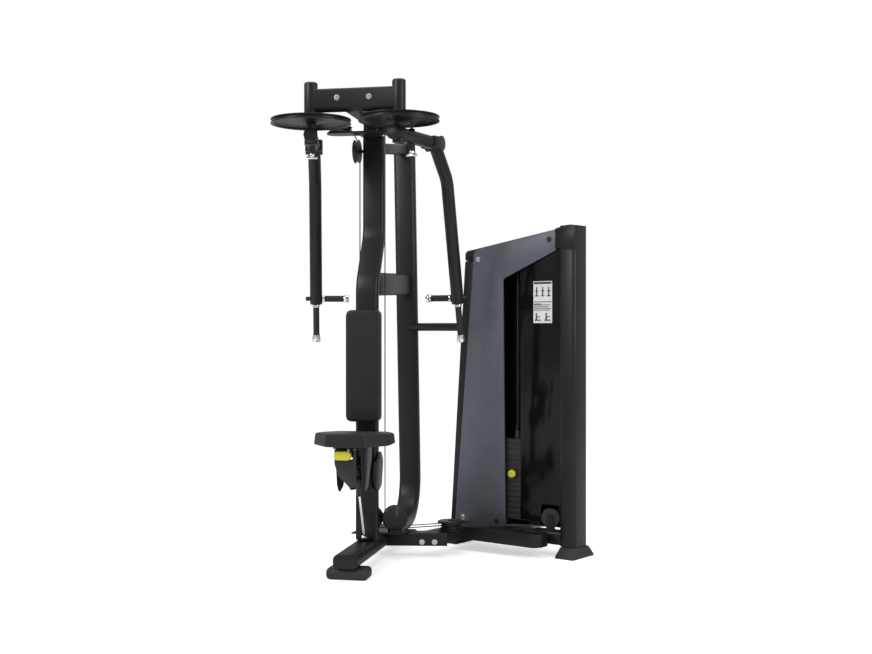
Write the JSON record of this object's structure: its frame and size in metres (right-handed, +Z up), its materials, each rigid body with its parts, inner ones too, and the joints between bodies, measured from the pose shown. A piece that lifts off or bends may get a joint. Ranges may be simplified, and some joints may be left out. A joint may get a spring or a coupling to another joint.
{
  "type": "pec deck machine",
  "caption": "Seated pec fly and rear delt machine: swinging arms with cams and cables, a weight stack in a corner tower, a seat that moves up and down, and a back pad",
  "frame": {"origin": "middle of the underside of the front foot, on the floor", "axes": "+X to the side with the weight tower, +Y to the back of the machine, +Z up"},
  "size_m": [1.3634, 1.316, 2.095],
  "materials": {
    "frame_paint": "satin black paint",
    "panel_paint": "satin blue-grey paint",
    "gloss_black": "gloss black",
    "upholstery": "black vinyl over foam",
    "grip_rubber": "black moulded rubber with chrome collars",
    "foot_rubber": "black moulded rubber",
    "chrome": "polished",
    "plate_iron": "black painted plates",
    "pulley_plastic": "moulded black nylon",
    "cable_coat": "black coated steel cable",
    "yellow_plastic": "yellow moulded plastic"
  },
  "bodies": {
    "frame": {"base_and_rear_column": "frame_paint", "front_column": "frame_paint", "mid_brace": "frame_paint", "top_brace": "frame_paint", "crossbeam": "frame_paint", "guide_pulley_plate": "frame_paint", "front_foot": "foot_rubber", "rear_foot": "foot_rubber", "cross_leg": "frame_paint", "tower_front_beam": "frame_paint", "tower_base_beam": "frame_paint", "tower_left_upright": "frame_paint", "tower_right_upright": "frame_paint", "tower_right_foot": "foot_rubber", "tower_top_rail": "frame_paint", "side_tube": "frame_paint", "tower_side_panel": "panel_paint", "tower_shroud": "gloss_black", "tower_back_cover": "gloss_black", "guide_rods": "chrome", "lower_weight_plates": "plate_iron", "back_pad": "upholstery", "seat_bracket": "frame_paint", "lower_pulley_bracket": "frame_paint", "base_pulley_cover": "frame_paint", "left_cable": "cable_coat", "right_cable": "cable_coat"},
    "left_cam": {"left_cam": "frame_paint"},
    "left_link": {"left_arm_link": "frame_paint"},
    "left_plunger": {"left_index_plunger": "chrome"},
    "left_arm": {"left_arm_tube": "frame_paint", "left_vertical_grip": "grip_rubber", "left_horizontal_grip": "grip_rubber"},
    "right_cam": {"right_cam": "frame_paint"},
    "right_link": {"right_arm_link": "frame_paint"},
    "right_plunger": {"right_index_plunger": "chrome"},
    "right_arm": {"right_arm_tube": "frame_paint", "right_vertical_grip": "grip_rubber", "right_horizontal_grip": "grip_rubber"},
    "left_guide_pulley": {"left_guide_pulley": "pulley_plastic"},
    "right_guide_pulley": {"right_guide_pulley": "pulley_plastic"},
    "left_top_pulley": {"left_top_pulley": "pulley_plastic"},
    "right_top_pulley": {"right_top_pulley": "pulley_plastic"},
    "left_lower_pulley": {"left_lower_pulley": "pulley_plastic"},
    "right_lower_pulley": {"right_lower_pulley": "pulley_plastic"},
    "base_pulley": {"base_pulley": "pulley_plastic"},
    "tower_base_pulley": {"tower_base_pulley": "pulley_plastic"},
    "tower_left_top_pulley": {"tower_left_top_pulley": "pulley_plastic"},
    "tower_right_top_pulley": {"tower_right_top_pulley": "pulley_plastic"},
    "stack": {"lifted_weight_plates": "plate_iron", "stack_cable": "cable_coat"},
    "pin": {"selector_pin": "yellow_plastic"},
    "seat_upper_link": {"seat_upper_link": "frame_paint"},
    "seat_lower_link": {"seat_lower_link": "frame_paint"},
    "seat": {"seat_carriage": "frame_paint", "seat_pad": "upholstery", "seat_shield": "pulley_plastic"},
    "seat_lever": {"seat_lever": "yellow_plastic"},
    "spring_rod": {"gas_spring_rod": "chrome"},
    "spring_cylinder": {"gas_spring_cylinder": "pulley_plastic"}
  },
  "joints": [
    {"name": "left_cam_turn", "type": "hinge", "parent": "frame", "child": "left_cam", "pos_m": [-0.193, 0.09, 1.9275], "axis": [0, 0, 1], "range_deg": [0, 100]},
    {"name": "left_arm_index", "type": "hinge", "parent": "left_cam", "child": "left_link", "pos_m": [-0.193, 0.09, 1.865], "axis": [0, 0, 1], "range_deg": [0, 60]},
    {"name": "left_plunger_pull", "type": "slide", "parent": "left_link", "child": "left_plunger", "axis": [0, 0, -1], "range_m": [0, 0.012], "stiffness_N_per_m": 900, "springref_m": -0.012},
    {"name": "left_elbow", "type": "hinge", "parent": "left_link", "child": "left_arm", "pos_m": [-0.28013, 0.42692, 1.87], "axis": [0.9681, 0.2504, 0], "range_deg": [0, 8]},
    {"name": "right_cam_turn", "type": "hinge", "parent": "frame", "child": "right_cam", "pos_m": [0.193, 0.09, 1.9275], "axis": [0, 0, -1], "range_deg": [0, 100]},
    {"name": "right_arm_index", "type": "hinge", "parent": "right_cam", "child": "right_link", "pos_m": [0.193, 0.09, 1.865], "axis": [0, 0, -1], "range_deg": [0, 60]},
    {"name": "right_plunger_pull", "type": "slide", "parent": "right_link", "child": "right_plunger", "axis": [0, 0, -1], "range_m": [0, 0.012], "stiffness_N_per_m": 900, "springref_m": -0.012},
    {"name": "right_elbow", "type": "hinge", "parent": "right_link", "child": "right_arm", "pos_m": [0.28013, 0.42692, 1.87], "axis": [0.9681, -0.2504, 0], "range_deg": [0, 8]},
    {"name": "stack_lift", "type": "slide", "parent": "frame", "child": "stack", "axis": [0, 0, 1], "range_m": [0, 0.3], "deforming": ["stack_cable"]},
    {"name": "selector_pin_pull", "type": "slide", "parent": "stack", "child": "pin", "axis": [-0.454, -0.891, 0], "range_m": [0, 0.06]},
    {"name": "left_guide_pulley_spin", "type": "hinge", "parent": "frame", "child": "left_guide_pulley", "pos_m": [-0.1275, 0.32, 1.9275], "axis": [0, 0, -1], "range_deg": [0, 350]},
    {"name": "right_guide_pulley_spin", "type": "hinge", "parent": "frame", "child": "right_guide_pulley", "pos_m": [0.09, 0.32, 1.9275], "axis": [0, 0, 1], "range_deg": [0, 350]},
    {"name": "left_top_pulley_spin", "type": "hinge", "parent": "frame", "child": "left_top_pulley", "pos_m": [-0.0775, 0.428, 1.845], "axis": [1, 0, 0], "range_deg": [0, 350]},
    {"name": "right_top_pulley_spin", "type": "hinge", "parent": "frame", "child": "right_top_pulley", "pos_m": [0.04, 0.448, 1.9475], "axis": [1, 0, 0], "range_deg": [0, 570]},
    {"name": "left_lower_pulley_spin", "type": "hinge", "parent": "frame", "child": "left_lower_pulley", "pos_m": [-0.03307, 0.50094, 0.178], "axis": [-0.4588, 0.8886, 0], "range_deg": [0, 350]},
    {"name": "right_lower_pulley_spin", "type": "hinge", "parent": "frame", "child": "right_lower_pulley", "pos_m": [0.07985, 0.50821, 0.178], "axis": [-0.6041, 0.7969, 0], "range_deg": [0, 350]},
    {"name": "base_pulley_spin", "type": "hinge", "parent": "frame", "child": "base_pulley", "pos_m": [0.315, 0.63, 0.13], "axis": [0, 0, 1], "range_deg": [0, 380]},
    {"name": "tower_base_pulley_spin", "type": "hinge", "parent": "frame", "child": "tower_base_pulley", "pos_m": [0.77121, 0.71342, 0.168], "axis": [-0.0836, 0.9965, 0], "range_deg": [0, 430]},
    {"name": "tower_right_top_pulley_spin", "type": "hinge", "parent": "frame", "child": "tower_right_top_pulley", "pos_m": [0.77394, 0.71988, 1.352], "axis": [0.454, 0.891, 0], "range_deg": [0, 500]},
    {"name": "tower_left_top_pulley_spin", "type": "hinge", "parent": "frame", "child": "tower_left_top_pulley", "pos_m": [0.64029, 0.78798, 1.352], "axis": [0.454, 0.891, 0], "range_deg": [0, 500]},
    {"name": "seat_lift", "type": "hinge", "parent": "frame", "child": "seat_upper_link", "pos_m": [0, 0.19, 0.43], "axis": [-1, 0, 0], "range_deg": [-28, 12]},
    {"name": "seat_lower_link_turn", "type": "hinge", "parent": "frame", "child": "seat_lower_link", "pos_m": [0, 0.19, 0.37], "axis": [-1, 0, 0], "range_deg": [-28, 12]},
    {"name": "seat_level", "type": "hinge", "parent": "seat_upper_link", "child": "seat", "pos_m": [0, 0.045, 0.469], "axis": [-1, 0, 0], "range_deg": [-12, 28]},
    {"name": "gas_spring_turn", "type": "hinge", "parent": "frame", "child": "spring_rod", "pos_m": [0, 0.255, 0.128], "axis": [-1, 0, 0], "range_deg": [-6, 3]},
    {"name": "gas_spring_slide", "type": "slide", "parent": "spring_rod", "child": "spring_cylinder", "axis": [0, -0.3948, 0.9188], "range_m": [-0.065, 0.03]},
    {"name": "seat_lever_lift", "type": "hinge", "parent": "seat", "child": "seat_lever", "pos_m": [-0.007, 0.028, 0.512], "axis": [-1, 0, 0], "range_deg": [0, 10], "stiffness_Nm_per_rad": 2, "springref_deg": -14.32}
  ],
  "couplings": [
    {"joint": "right_cam_turn", "follows": "left_cam_turn", "ratio": 1},
    {"joint": "stack_lift", "follows": "left_cam_turn", "m_per_rad": 0.166},
    {"joint": "left_guide_pulley_spin", "follows": "left_cam_turn", "ratio": 3.32},
    {"joint": "right_guide_pulley_spin", "follows": "left_cam_turn", "ratio": 3.32},
    {"joint": "left_top_pulley_spin", "follows": "left_cam_turn", "ratio": 3.32},
    {"joint": "right_top_pulley_spin", "follows": "left_cam_turn", "ratio": 5.5333},
    {"joint": "left_lower_pulley_spin", "follows": "left_cam_turn", "ratio": 3.32},
    {"joint": "right_lower_pulley_spin", "follows": "left_cam_turn", "ratio": 3.32},
    {"joint": "base_pulley_spin", "follows": "left_cam_turn", "ratio": 3.6889},
    {"joint": "tower_base_pulley_spin", "follows": "left_cam_turn", "ratio": 4.15},
    {"joint": "tower_right_top_pulley_spin", "follows": "left_cam_turn", "ratio": 4.8823},
    {"joint": "tower_left_top_pulley_spin", "follows": "left_cam_turn", "ratio": 4.8823},
    {"joint": "seat_lower_link_turn", "follows": "seat_lift", "ratio": 1},
    {"joint": "seat_level", "follows": "seat_lift", "ratio": -1},
    {"joint": "gas_spring_turn", "follows": "seat_lift", "ratio": 0.2},
    {"joint": "gas_spring_slide", "follows": "seat_lift", "m_per_rad": 0.126}
  ]
}
